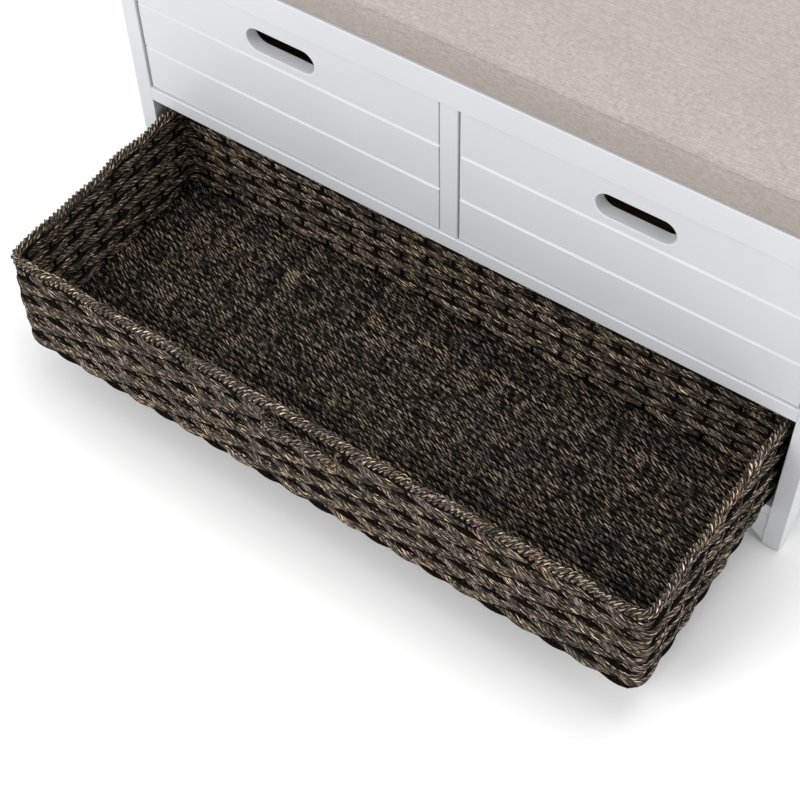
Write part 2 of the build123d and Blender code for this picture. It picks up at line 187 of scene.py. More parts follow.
def sawn_wood(name, light, dark, grain, along, roughness=0.6):
    """Planed wood: long fibres along one axis, darker late wood, and a matt open surface.
    grain is the spacing of the growth lines in millimetres."""
    material, tree, shader = new_material(name, Roughness=roughness)
    place = add_node(tree, "ShaderNodeTexCoord").outputs["Object"]
    across = 1 / (grain * MM)
    stretch = [across, across, across]
    stretch["XYZ".index(along)] = across / 26
    turned = add_node(tree, "ShaderNodeMapping", inputs={"Vector": place, "Scale": stretch})
    lines = add_node(
        tree, "ShaderNodeTexNoise",
        inputs={"Vector": turned.outputs["Vector"], "Scale": 1.0, "Detail": 4.0, "Distortion": 0.6})
    colour = add_node(
        tree, "ShaderNodeValToRGB",
        {"stops": [(0.35, hex_colour(dark)), (0.6, hex_colour(light))]},
        {"Fac": lines.outputs["Fac"]})
    bump = add_node(
        tree, "ShaderNodeBump",
        inputs={"Strength": 0.25, "Distance": 0.2 * MM, "Height": lines.outputs["Fac"]})
    tree.links.new(colour.outputs["Color"], shader.inputs["Base Color"])
    tree.links.new(bump.outputs["Normal"], shader.inputs["Normal"])
    return material


def zinc_plated_steel():
    """Bright zinc on steel fittings: a pale metal, slightly clouded by its plating."""
    material, tree, shader = new_material("zinc_plated_steel", Metallic=1.0)
    place = add_node(tree, "ShaderNodeTexCoord").outputs["Object"]
    cloud = add_node(
        tree, "ShaderNodeTexNoise", inputs={"Vector": place, "Scale": 1 / 0.003, "Detail": 3.0})
    colour = add_node(
        tree, "ShaderNodeValToRGB",
        {"stops": [(0.3, hex_colour("#9A9B96")), (0.7, hex_colour("#C9CAC4"))]},
        {"Fac": cloud.outputs["Fac"]})
    rough = add_node(
        tree, "ShaderNodeMapRange",
        inputs={"Value": cloud.outputs["Fac"], "To Min": 0.3, "To Max": 0.48})
    tree.links.new(colour.outputs["Color"], shader.inputs["Base Color"])
    tree.links.new(rough.outputs["Result"], shader.inputs["Roughness"])
    return material


def moulded_polythene():
    """Glides of moulded polythene: waxy, slightly translucent white with a fine sparked grain."""
    material, tree, shader = new_material("moulded_polythene", Roughness=0.5)
    shader.inputs["Base Color"].default_value = hex_colour("#D8D7D2")
    place = add_node(tree, "ShaderNodeTexCoord").outputs["Object"]
    grain = add_node(
        tree, "ShaderNodeTexNoise", inputs={"Vector": place, "Scale": 1 / 0.0006, "Detail": 2.0})
    bump = add_node(
        tree, "ShaderNodeBump",
        inputs={"Strength": 0.2, "Distance": 0.05 * MM, "Height": grain.outputs["Fac"]})
    tree.links.new(bump.outputs["Normal"], shader.inputs["Normal"])
    return material


def dipped_wire():
    """Black dip-coated steel wire: dark, even and half glossy, with slight runs."""
    material, tree, shader = new_material("dip_coated_wire", Roughness=0.45)
    place = add_node(tree, "ShaderNodeTexCoord").outputs["Object"]
    runs = add_node(
        tree, "ShaderNodeTexNoise", inputs={"Vector": place, "Scale": 1 / 0.004, "Detail": 1.0})
    colour = add_node(
        tree, "ShaderNodeValToRGB",
        {"stops": [(0.3, hex_colour("#0E0D0C")), (0.7, hex_colour("#1C1A18"))]},
        {"Fac": runs.outputs["Fac"]})
    tree.links.new(colour.outputs["Color"], shader.inputs["Base Color"])
    return material


def slub_linen(colour):
    """Linen-look plain weave with slubs: broken pale and dark streaks along both sets of
    threads. Threads of 0.6 mm would not show, so the streaks are drawn about 1 mm wide."""
    material, tree, shader = new_material("slub_linen", Roughness=0.92)
    shader.inputs["Sheen Weight"].default_value = 0.25
    shader.inputs["Sheen Roughness"].default_value = 0.5
    shader.inputs["Specular IOR Level"].default_value = 0.2
    place = add_node(tree, "ShaderNodeTexCoord").outputs["Object"]
    thread, slub = 1 / 0.0010, 1 / 0.007
    warp_place = add_node(
        tree, "ShaderNodeMapping", inputs={"Vector": place, "Scale": (slub, thread, thread)})
    weft_place = add_node(
        tree, "ShaderNodeMapping", inputs={"Vector": place, "Scale": (thread, slub, slub)})
    warp = add_node(
        tree, "ShaderNodeTexNoise",
        inputs={"Vector": warp_place.outputs["Vector"], "Scale": 1.0, "Detail": 2.0})
    weft = add_node(
        tree, "ShaderNodeTexNoise",
        inputs={"Vector": weft_place.outputs["Vector"], "Scale": 1.0, "Detail": 2.0})
    both = add_node(
        tree, "ShaderNodeMix", {"data_type": "FLOAT"},
        {0: 0.38, 2: warp.outputs["Fac"], 3: weft.outputs["Fac"]})
    streaks = add_node(
        tree, "ShaderNodeValToRGB",
        {"stops": [(0.32, scaled(colour, 0.78)), (0.5, colour), (0.66, scaled(colour, 1.22))]},
        {"Fac": both.outputs[0]})
    cloud = add_node(
        tree, "ShaderNodeTexNoise", inputs={"Vector": place, "Scale": 1 / 0.05, "Detail": 3.0})
    dye = add_node(
        tree, "ShaderNodeValToRGB",
        {"stops": [(0.3, grey(0.93)), (0.7, grey(1.0))]}, {"Fac": cloud.outputs["Fac"]})
    dyed = add_node(
        tree, "ShaderNodeMix", {"data_type": "RGBA", "blend_type": "MULTIPLY"},
        {0: 1.0, 6: streaks.outputs["Color"], 7: dye.outputs["Color"]})
    bump = add_node(
        tree, "ShaderNodeBump",
        inputs={"Strength": 0.5, "Distance": 0.35 * MM, "Height": both.outputs[0]})
    tree.links.new(dyed.outputs[2], shader.inputs["Base Color"])
    tree.links.new(bump.outputs["Normal"], shader.inputs["Normal"])
    return material


def twisted_seagrass(name, colour, lightness=1.0, plies=4.0, contrast=1.0):
    """Dyed seagrass spun into cord: ridges left pale, painted shade that darkens the creases between
    the stems to near black, stems of random tone whose palest are painted highlights and darkest
    painted shade, and stems that took the dye unevenly. The UV map's V already turns with the twist.
    A contrast above 1 leaves fewer stems of a middle tone."""
    material, tree, shader = new_material(name, Roughness=0.7)
    shader.inputs["Specular IOR Level"].default_value = 0.18
    colour = scaled(colour, lightness)
    place = add_node(tree, "ShaderNodeTexCoord")
    run = add_node(tree, "ShaderNodeSeparateXYZ", inputs={0: place.outputs["UV"]})
    count = add_node(
        tree, "ShaderNodeMath", {"operation": "MULTIPLY"}, {0: run.outputs["Y"], 1: plies})
    ridge = add_node(
        tree, "ShaderNodeMath", {"operation": "PINGPONG"}, {0: count.outputs[0], 1: 0.5})
    # painted shade: the creases between the plies are darkened to near black, where shade falls
    painted_crease_shade = add_node(
        tree, "ShaderNodeValToRGB",
        {"stops": [(0.0, grey(0.02)), (0.2, grey(0.35)), (0.42, grey(1.0))]},
        {"Fac": ridge.outputs[0]})
    fibre_place = add_node(
        tree, "ShaderNodeMapping",
        inputs={"Vector": place.outputs["UV"], "Scale": (1 / 0.014, 9.0 / contrast, 1.0)})
    fibres = add_node(
        tree, "ShaderNodeTexNoise",
        inputs={"Vector": fibre_place.outputs["Vector"], "Scale": 1.0, "Detail": 2.0})
    # painted highlight and painted shade: the stems' tone is random, but its palest end stands in for
    # highlights on the fibres and its near-black end for shade between them
    tones = ((-0.12, 0.03), (-0.02, 0.45), (0.06, 1.7), (0.16, 6.0))
    stems = add_node(
        tree, "ShaderNodeValToRGB",
        {"stops": [(0.5 + step / contrast, scaled(colour, factor)) for step, factor in tones]},
        {"Fac": fibres.outputs["Fac"]})
    blotch = add_node(
        tree, "ShaderNodeTexNoise",
        inputs={"Vector": place.outputs["Object"], "Scale": 1 / 0.04, "Detail": 2.0})
    dye = add_node(
        tree, "ShaderNodeValToRGB",
        {"stops": [
            (0.3, (0.66, 0.7, 0.62, 1)), (0.45, (1.0, 0.95, 0.93, 1)), (0.58, (0.95, 0.98, 0.78, 1)),
            (0.7, (1.3, 1.12, 1.04, 1))]},
        {"Fac": blotch.outputs["Fac"]})
    tone = add_node(tree, "ShaderNodeAttribute", {"attribute_name": "tone"})
    result = stems.outputs["Color"]
    for layer in (dye, tone, painted_crease_shade):
        mix = add_node(
            tree, "ShaderNodeMix", {"data_type": "RGBA", "blend_type": "MULTIPLY"},
            {0: 1.0, 6: result, 7: layer.outputs["Color"]})
        result = mix.outputs[2]
    height = add_node(
        tree, "ShaderNodeMath", {"operation": "MULTIPLY_ADD"},
        {0: fibres.outputs["Fac"], 1: 0.5, 2: ridge.outputs[0]})
    bump = add_node(
        tree, "ShaderNodeBump",
        inputs={"Strength": 0.9, "Distance": 1.0 * MM, "Height": height.outputs[0]})
    tree.links.new(result, shader.inputs["Base Color"])
    tree.links.new(bump.outputs["Normal"], shader.inputs["Normal"])
    return material


def shade_and_stake_black():
    """Nearly black, matt and rough, only seen in the gaps of the weave: painted shade for the
    filling between the bundles, and the stakes' own black.
    """
    material, tree, shader = new_material("weave_shade_and_stake_black", Roughness=0.95)
    shader.inputs["Specular IOR Level"].default_value = 0.1
    place = add_node(tree, "ShaderNodeTexCoord").outputs["Object"]
    stems = add_node(
        tree, "ShaderNodeTexNoise", inputs={"Vector": place, "Scale": 1 / 0.003, "Detail": 3.0})
    # painted shade: this near-black stands in for the shade in the gaps of the weave
    colour = add_node(
        tree, "ShaderNodeValToRGB",
        {"stops": [(0.3, hex_colour("#0B0907")), (0.7, hex_colour("#1A1512"))]},
        {"Fac": stems.outputs["Fac"]})
    tree.links.new(colour.outputs["Color"], shader.inputs["Base Color"])
    return material


def studio_paper():
    """Seamless white background paper: matt, with the faintest mottling."""
    material, tree, shader = new_material("studio_paper", Roughness=0.9)
    place = add_node(tree, "ShaderNodeTexCoord").outputs["Object"]
    mottle = add_node(
        tree, "ShaderNodeTexNoise", inputs={"Vector": place, "Scale": 2.0, "Detail": 2.0})
    colour = add_node(
        tree, "ShaderNodeValToRGB",
        {"stops": [(0.3, hex_colour("#F6F6F6")), (0.7, hex_colour("#FAFAFA"))]},
        {"Fac": mottle.outputs["Fac"]})
    tree.links.new(colour.outputs["Color"], shader.inputs["Base Color"])
    return material


# ---- mesh helpers ----

class Sweep:
    """Collects sections swept along lines, and makes one mesh of them."""

    def __init__(self):
        self.vertices, self.faces, self.uvs, self.tones = [], [], [], []
        self.count = 0

    def add(self, points, first, second, section, tone=1.0, closed=False, lay=0.0, phase=0.0):
        """section is (sides, 2) or (rings, sides, 2): offsets along the first and second axes.
        The UV map runs along the cord, and round it with the twist of its lay."""
        rings, sides = len(points), section.shape[-2]
        if section.ndim == 2:
            section = np.broadcast_to(section, (rings, sides, 2))
        vertices = (
            points[:, None] + section[..., :1] * first[:, None] + section[..., 1:] * second[:, None])
        steps = np.linalg.norm(np.diff(points, axis=0), axis=1)
        along = np.concatenate([[0.0], np.cumsum(steps)])
        tangent = points[1] - points[0]
        outward = np.dot(np.cross(first[0], second[0]), tangent) > 0
        last = rings if closed else rings - 1
        ring = np.repeat(np.arange(last), sides)
        side = np.tile(np.arange(sides), last)
        after, beside = (ring + 1) % rings, (side + 1) % sides
        corners = np.stack([ring * sides + side, ring * sides + beside,
                            after * sides + beside, after * sides + side], 1)
        closing = along[-1] + np.linalg.norm(points[0] - points[-1])
        u = np.concatenate([along, [closing]])
        twist = u / lay + phase if lay else 0 * u
        v = side / sides - twist[ring], side / sides - twist[ring + 1]
        uv = np.stack([u[ring], v[0], u[ring], v[0] + 1 / sides,
                       u[ring + 1], v[1] + 1 / sides, u[ring + 1], v[1]], 1)
        uv = uv.reshape(-1, 4, 2)
        if not outward:
            corners, uv = corners[:, ::-1], uv[:, ::-1]
        self.faces += (corners + self.count).tolist()
        self.uvs.append(uv.reshape(-1, 2))
        if not closed:
            for start, turn in ((0, outward), ((rings - 1) * sides, not outward)):
                cap = list(range(start, start + sides))
                self.faces.append([self.count + i for i in (cap[::-1] if turn else cap)])
                self.uvs.append(np.tile([u[start // sides], 0.25], (sides, 1)))
        self.vertices.append(vertices.reshape(-1, 3))
        self.tones.append(np.full(rings * sides, tone))
        self.count += rings * sides

    def piece(self, name, material):
        """The finished object, smooth, with its UV map and its tone attribute."""
        mesh = bpy.data.meshes.new(name)
        mesh.from_pydata(np.concatenate(self.vertices).tolist(), [], self.faces)
        layer = mesh.uv_layers.new(name="along_cord")
        layer.data.foreach_set("uv", np.concatenate(self.uvs).ravel())
        tone = mesh.attributes.new("tone", "FLOAT_COLOR", "POINT")
        tones = np.concatenate(self.tones)
        rgba = np.stack([tones, tones, tones, np.ones_like(tones)], 1)
        tone.data.foreach_set("color", rgba.ravel())
        mesh.polygons.foreach_set("use_smooth", np.ones(len(mesh.polygons), bool))
        mesh.materials.append(material)
        mesh.validate()
        piece = bpy.data.objects.new(name, mesh)
        bpy.context.collection.objects.link(piece)
        return piece


def round_section(radius, sides, flat=1.0):
    angles = np.arange(sides) * 2 * math.pi / sides
    return np.stack([radius * np.cos(angles), radius * flat * np.sin(angles)], 1)


def rectangle(wide, thick):
    """A flat section, by its half sizes."""
    return np.array([(-wide, -thick), (wide, -thick), (wide, thick), (-wide, thick)])


def two_ply(radius, sides, along, lay, phase):
    """Sections of a two-ply cord: an oval that turns once in every lay."""
    angles = np.arange(sides) * 2 * math.pi / sides
    turn = 2 * math.pi * (along / lay + phase)
    reach = radius * (1 - 0.24 * np.sin(angles[None] - turn[:, None]) ** 2)
    return np.stack([reach * np.cos(angles), reach * np.sin(angles)], -1)


def slow_noise(rng, along, length, waves=14):
    """A smooth random wave that closes on itself after length; its size is about 1."""
    total = np.zeros(len(along))
    for wave in range(1, waves + 1):
        total += rng.normal() * np.sin(2 * math.pi * wave * along / length + rng.uniform(0, 6.28))
    return total / math.sqrt(waves / 2)


class BasketLine:
    """The line along the middle of the basket's wall: a rounded rectangle, from its front centre."""

    def __init__(self):
        low, high = (np.array(corner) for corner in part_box("basket_walls"))
        inner_low = np.array(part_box("basket_floor")[0])
        self.wall = inner_low[0] - low[0]
        self.bottom, self.top = low[2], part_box("basket_rim")[1][2]
        self.half = (high[:2] - low[:2]) / 2 - self.wall / 2
        self.centre = (high[:2] + low[:2]) / 2
        self.corner = 10 * MM
        self.straight = 2 * (self.half - self.corner)
        self.length = 2 * self.straight.sum() + 2 * math.pi * self.corner

    def at(self, along):
        """Points on the line, and the directions out of the basket there."""
        along = np.asarray(along) % self.length
        wide, deep = self.straight
        arc = self.corner * math.pi / 2
        runs = [wide / 2, arc, deep, arc, wide, arc, deep, arc, wide / 2]
        starts = np.concatenate([[0], np.cumsum(runs)])
        points = np.zeros((len(along), 2))
        outs = np.zeros((len(along), 2))
        turn = -math.pi / 2
        position = np.array([0.0, -self.half[1]])
        for index, run in enumerate(runs):
            here = (along >= starts[index]) & (along <= starts[index + 1] + 1e-9)
            step = along[here] - starts[index]
            out = np.array([math.cos(turn), math.sin(turn)])
            forward = np.array([-out[1], out[0]])
            if index % 2 == 0:
                points[here] = position + step[:, None] * forward
                outs[here] = out
                position = position + run * forward
            else:
                middle = position - self.corner * out
                angles = turn + step / self.corner
                rays = np.stack([np.cos(angles), np.sin(angles)], 1)
                points[here] = middle + self.corner * rays
                outs[here] = rays
                turn += math.pi / 2
                position = middle + self.corner * np.array([math.cos(turn), math.sin(turn)])
        return points + self.centre, outs

    def lifted(self, along, out, height):
        """Points beside the line: out of the basket by out, at a height, with the two axes there.
        The wall fills out below the rim, more at the front and back than at the ends."""
        points, outs = self.at(along)
        below = np.clip((self.top - RIM_TALL - height) / FILLED_BELOW, 0, 1)
        out = out + below * (FULLER + FULLER_FRONT * np.abs(outs[:, 1]))
        heights = np.broadcast_to(height, len(points))
        places = np.column_stack([points + outs * np.reshape(out, (-1, 1)), heights])
        ups = np.tile([0.0, 0.0, 1.0], (len(points), 1))
        return places, ups, np.column_stack([outs, np.zeros(len(outs))])


def select_only(piece):
    bpy.ops.object.select_all(action="DESELECT")
    piece.select_set(True)
    bpy.context.view_layer.objects.active = piece


def belongs(piece, body, slot_name, *nodes):
    """Ride on a body, and stand for the CAD nodes named. slot_name is not used."""
    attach(piece, body)
    if nodes:
        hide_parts(*nodes)


# ---- the basket's sizes that several pieces share ----

HOLD_SHARE = 0.058  # half the hand-hold's width, as a share of the rim's
HOLD_HALF = (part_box("basket_rim")[1][0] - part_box("basket_rim")[0][0]) * HOLD_SHARE
RIM_TALL = 14 * MM
FILLED_BELOW = 45 * MM  # the wall is at its fullest from this far below the rim
FULLER, FULLER_FRONT = 2.8 * MM, 1.4 * MM  # how far it fills out, and how much more in front
BULGE = 3.0 * MM  # from the stakes to the middle of a bundle that passes them
TUCK = 5 * MM  # how far the floor reaches into the walls
WALL_LAY, FLOOR_LAY, LASHING_LAY = 29 * MM, 20 * MM, 16 * MM  # one turn of each cord's twist
TURNS = 40  # whole turns leave a cord's shape alone, and give it other fibres
BASKET = BasketLine()


def wall_row_height():
    looks = bpy.context.scene.bench_looks
    return (BASKET.top - RIM_TALL - BASKET.bottom) / looks.rows


def wall_wave(row, step):
    """Places along one wall row, how far out it bulges there from -1 to 1, and if it is cut."""
    looks = bpy.context.scene.bench_looks
    cut = row >= looks.rows - 2
    start, end = (HOLD_HALF, BASKET.length - HOLD_HALF) if cut else (0, BASKET.length)
    along = np.linspace(start, end, int((end - start) / step), endpoint=cut)
    return along, np.cos(math.pi * (along * looks.stakes / BASKET.length + row + 0.5)), cut


# ---- operators, one for each piece or group of like pieces ----

class BENCH_OT_finish_boards(bpy.types.Operator):
    """Paint the carcass, and give the drawer boxes, runners and fittings their own finishes"""

    bl_idname = "bench.finish_boards"
    bl_label = "Finish Boards and Fittings"

    def execute(self, context):
        finishes = {
            "painted_wood": satin_paint(tuple(context.scene.bench_looks.paint)),
            "bare_wood": sawn_wood("planed_paulownia", "#C9AE86", "#A98A62", 3.0, "Y"),
            "plywood": sawn_wood("birch_plywood", "#CDB28A", "#B59669", 6.0, "X"),
            "hardwood": sawn_wood("planed_beech", "#C79F72", "#AD8355", 1.6, "Y"),
            "zinc_steel": zinc_plated_steel(),
            "glide_plastic": moulded_polythene(),
            "black_wire": dipped_wire(),
        }
        for part in frame["record"]["subparts"]:
            material = finishes.get(part["material_slot"])
            if material:
                for slot in frame["nodes"][part["node"]].material_slots:
                    slot.material = material
        return {"FINISHED"}


class BENCH_OT_weave_walls(bpy.types.Operator):
    """Weave the basket's walls: bundles of cords that pass before and behind the stakes"""

    bl_idname = "bench.weave_walls"
    bl_label = "Weave Basket Walls"

    def execute(self, context):
        looks = context.scene.bench_looks
        rope = twisted_seagrass("dyed_seagrass_cord", tuple(looks.rope))
        rng = np.random.default_rng(5)
        tall = wall_row_height()
        spread = (tall - 0.2 * looks.cord) / looks.cords
        lower, upper = Sweep(), Sweep()
        for row in range(looks.rows):
            along, bulge, cut = wall_wave(row, 2.8 * MM)
            middle = BASKET.bottom + (row + 0.5) * tall
            drift = 0.5 * MM * slow_noise(rng, along, BASKET.length)
            for cord in range(looks.cords):
                place = cord - (looks.cords - 1) / 2
                out = (BULGE - 0.3 * MM * place ** 2) * bulge
                out = out + 0.3 * MM * slow_noise(rng, along, BASKET.length, 40)
                height = middle + place * spread * (0.98 + 0.2 * bulge) + drift
                height = height + 0.25 * MM * slow_noise(rng, along, BASKET.length, 40)
                height = np.maximum(height, BASKET.bottom + 0.5 * looks.cord)
                places, ups, outs = BASKET.lifted(along, out, height)
                phase = rng.uniform(0, TURNS)
                section = two_ply(looks.cord / 2, 7, along, WALL_LAY, phase)
                target = lower if row < looks.rows / 2 else upper
                tone = rng.uniform(0.6, 1.3)
                target.add(places, ups, outs, section, tone, not cut, WALL_LAY, phase)
        for name, sweep, nodes in (
                ("basket_weave_lower", lower, ("basket_walls",)), ("basket_weave_upper", upper, ())):
            belongs(sweep.piece(name, rope), "basket", "seagrass", *nodes)
        return {"FINISHED"}


class BENCH_OT_fill_weave(bpy.types.Operator):
    """Put the filling and the stakes inside the weave, so that no light shows through it; the
    filling's near-black is painted shade in the gaps
    """

    bl_idname = "bench.fill_weave"
    bl_label = "Fill Weave"

    def execute(self, context):
        looks = context.scene.bench_looks
        filling = Sweep()
        tall = wall_row_height()
        for row in range(looks.rows):
            along, bulge, cut = wall_wave(row, 6 * MM)
            middle = BASKET.bottom + (row + 0.5) * tall
            places, ups, outs = BASKET.lifted(along, 2.6 * MM * bulge, middle)
            filling.add(places, ups, outs, rectangle(tall / 2 - 0.6 * MM, 0.5 * MM), closed=not cut)
            reach = (1.6 * MM + 2.6 * MM * np.abs(bulge))[:, None, None]
            inward = reach if row else 5.5 * MM  # the lowest ledge goes under the floor's edge
            ledge = (
                inward * np.array([[-1, 0], [0, 0], [0, 0], [-1, 0]])
                + reach * [[0, 0], [1, 0], [1, 0], [0, 0]])
            edges = [middle - tall / 2 + (0 if row else 1 * MM)]
            if row == looks.rows - 1:
                edges.append(middle + tall / 2)
            for edge in edges:
                places, ups, outs = BASKET.lifted(along, 0.0, edge)
                filling.add(places, outs, ups, ledge + rectangle(0, 0.4 * MM), closed=not cut)
        # a band behind the foot of the rim's lashing
        along = np.linspace(0, BASKET.length, 400, endpoint=False)
        places, ups, outs = BASKET.lifted(along, -0.6 * MM, BASKET.top - RIM_TALL + 3 * MM)
        filling.add(places, ups, outs, rectangle(3.4 * MM, 0.6 * MM), closed=True)
        for stake in range(looks.stakes):
            along = (stake + 0.5) * BASKET.length / looks.stakes
            held = min(along, BASKET.length - along) < HOLD_HALF
            top = BASKET.top - RIM_TALL - (2 * tall if held else 0)
            height = np.linspace(BASKET.bottom + 1 * MM, top + 2 * MM, 6)
            places, ups, outs = BASKET.lifted([along] * 6, 0.0, height)
            filling.add(places, np.cross(ups, outs), outs, round_section(1.8 * MM, 8))
        floor_low, floor_high = (np.array(corner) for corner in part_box("basket_floor"))
        middle = (floor_low + floor_high) / 2
        reach = (floor_high - floor_low) / 2 + TUCK
        depth = middle[2] - 0.9 * MM
        ends = np.array([[middle[0] + end * reach[0], middle[1], depth] for end in (-1, 1)])
        section = rectangle(reach[1], 0.4 * MM)
        filling.add(ends, np.tile([0.0, 1, 0], (2, 1)), np.tile([0.0, 0, 1], (2, 1)), section)
        # the filling's near-black material is painted shade for the gaps of the weave; the stakes are
        # black wire
        belongs(filling.piece("basket_filling", shade_and_stake_black()), "basket", "seagrass", "basket_wire")
        return {"FINISHED"}


class BENCH_OT_weave_floor(bpy.types.Operator):
    """Weave the basket's floor: single cords over and under the stakes, row by row"""

    bl_idname = "bench.weave_floor"
    bl_label = "Weave Basket Floor"

    def execute(self, context):
        looks = context.scene.bench_looks
        # painted shade: the floor cord is the same rope at about a third of its lightness, darkened
        # for the shade inside the basket
        rope = twisted_seagrass("dyed_seagrass_floor_cord_shaded", tuple(looks.rope), 0.34, 3.0, 2.1)
        rng = np.random.default_rng(11)
        low, high = (np.array(corner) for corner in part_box("basket_floor"))
        low[:2] -= TUCK
        high[:2] += TUCK
        pitch = BASKET.length / looks.stakes
        length = high[0] - low[0]
        rows = int((high[1] - low[1]) / looks.floor_pitch)
        start = low[1] + (high[1] - low[1] - (rows - 1) * looks.floor_pitch) / 2
        centre = (low[2] + high[2]) / 2
        along = np.linspace(0, length, int(length / (3.6 * MM)))
        halves = (Sweep(), Sweep())
        stray = [slow_noise(rng, along, 2 * length, 10) for _ in range(3)]
        for row in range(rows):
            wave = np.cos(math.pi * ((along - length / 2) / pitch + row))
            share = row / rows
            lane = start + row * looks.floor_pitch
            sway = 1.1 * MM * (stray[0] * (1 - share) + stray[1] * share)
            y = lane + sway * math.sin(math.pi * share) + 0.2 * MM * slow_noise(rng, along, length, 30)
            z = centre + 1.35 * MM * wave + 0.15 * MM * slow_noise(rng, along, length, 20)
            points = np.stack([low[0] + along, y, z], 1)
            phase = rng.uniform(0, TURNS)
            section = two_ply(looks.floor_cord / 2, 6, along, FLOOR_LAY, phase)
            sideways = np.tile([0.0, 1, 0], (len(along), 1))
            ups = np.tile([0.0, 0, 1], (len(along), 1))
            tone = rng.uniform(0.5, 1.35)
            halves[row % 2].add(points, sideways, ups, section, tone, False, FLOOR_LAY, phase)
        belongs(halves[0].piece("basket_floor_odd_rows", rope), "basket", "seagrass", "basket_floor")
        belongs(halves[1].piece("basket_floor_even_rows", rope), "basket", "seagrass")
        return {"FINISHED"}


def lash(sweep, places, across, upward, reach, turns, cord, rng, strands=2):
    """Wrap cords round a core line: places, its two cross axes, and the reach along each."""
    per_turn = 12
    rings = turns * per_turn
    steps = np.linspace(0, len(places) - 1, rings)
    index = np.arange(len(places))
    centre = np.stack([np.interp(steps, index, places[:, k]) for k in range(3)], 1)
    side = np.stack([np.interp(steps, index, across[:, k]) for k in range(3)], 1)
    top = np.stack([np.interp(steps, index, upward[:, k]) for k in range(3)], 1)
    for strand in range(strands):
        angle = 2 * math.pi * (np.arange(rings) / per_turn + strand / strands)
        loose = 1 + 0.07 * slow_noise(rng, np.arange(rings), rings, 40)
        radial = (
            side * (reach[0] * np.cos(angle) * loose)[:, None]
            + top * (reach[1] * np.sin(angle) * loose)[:, None])
        points = centre + radial
        tangent = np.gradient(points, axis=0)
        tangent /= np.linalg.norm(tangent, axis=1)[:, None]
        normal = radial / np.linalg.norm(radial, axis=1)[:, None]
        other = np.cross(tangent, normal)
        other /= np.linalg.norm(other, axis=1)[:, None]
        first = np.cross(other, tangent)
        section, tone = round_section(cord / 2, 6), rng.uniform(0.8, 1.2)
        sweep.add(points, first, other, section, tone, False, LASHING_LAY)


class BENCH_OT_bind_rim(bpy.types.Operator):
    """Lash the rim, and bind the edges of the hand-hold under it"""

    bl_idname = "bench.bind_rim"
    bl_label = "Bind Basket Rim"

    def execute(self, context):
        looks = context.scene.bench_looks
        rope = twisted_seagrass("dyed_seagrass_lashing", tuple(looks.rope), 0.92, 3.0)
        rng = np.random.default_rng(23)
        pitch = BASKET.length / looks.stakes
        binding = Sweep()
        cord = 4.0 * MM
        along = np.linspace(0, BASKET.length, 1200)
        scallop = 0.9 * MM * np.cos(math.pi * along / pitch)
        scallop = scallop + 0.6 * MM * slow_noise(rng, along, BASKET.length)
        middle = BASKET.top - RIM_TALL / 2
        height = middle + 0.5 * MM * slow_noise(rng, along, BASKET.length, 25)
        places, ups, outs = BASKET.lifted(along, scallop - 0.6 * MM, height)
        reach = (3.4 * MM, RIM_TALL / 2 - cord / 2)
        turns = int(BASKET.length / looks.stitch / 2)
        lash(binding, places, outs, ups, reach, turns, cord, rng)
        core = Sweep()
        flat = reach[1] / reach[0]
        section = round_section(reach[0], 10, flat)
        core.add(places[:-1], outs[:-1], ups[:-1], section, 0.5, closed=True)
        edge = BASKET.top - RIM_TALL - 1.9 * wall_row_height()
        span = np.linspace(-HOLD_HALF - 3 * MM, HOLD_HALF + 3 * MM, 60)
        sill, sill_ups, sill_outs = BASKET.lifted(span, 0.0, edge)
        lash(binding, sill, sill_outs, sill_ups, (3.6 * MM, 2.8 * MM), 8, cord, rng)
        core.add(sill, sill_outs, sill_ups, round_section(3.4 * MM, 8), 0.5)
        for side in (-1, 1):
            foot, foot_ups, foot_outs = BASKET.lifted([side * HOLD_HALF] * 20, 0.0, 0.0)
            post = foot.copy()
            post[:, 2] = np.linspace(edge, BASKET.top - RIM_TALL + 1 * MM, 20)
            sideways = np.cross(foot_outs, foot_ups)
            lash(binding, post, foot_outs, sideways, (3.4 * MM, 2.0 * MM), 2, cord, rng)
            core.add(post, foot_outs, sideways, round_section(3.0 * MM, 8), 0.5)
        belongs(binding.piece("basket_lashing", rope), "basket", "seagrass", "basket_rim")
        belongs(core.piece("basket_rim_core", rope), "basket", "seagrass")
        return {"FINISHED"}


SEAM_BELOW_TOP, SEAM_ABOVE_BASE = 10 * MM, 3 * MM


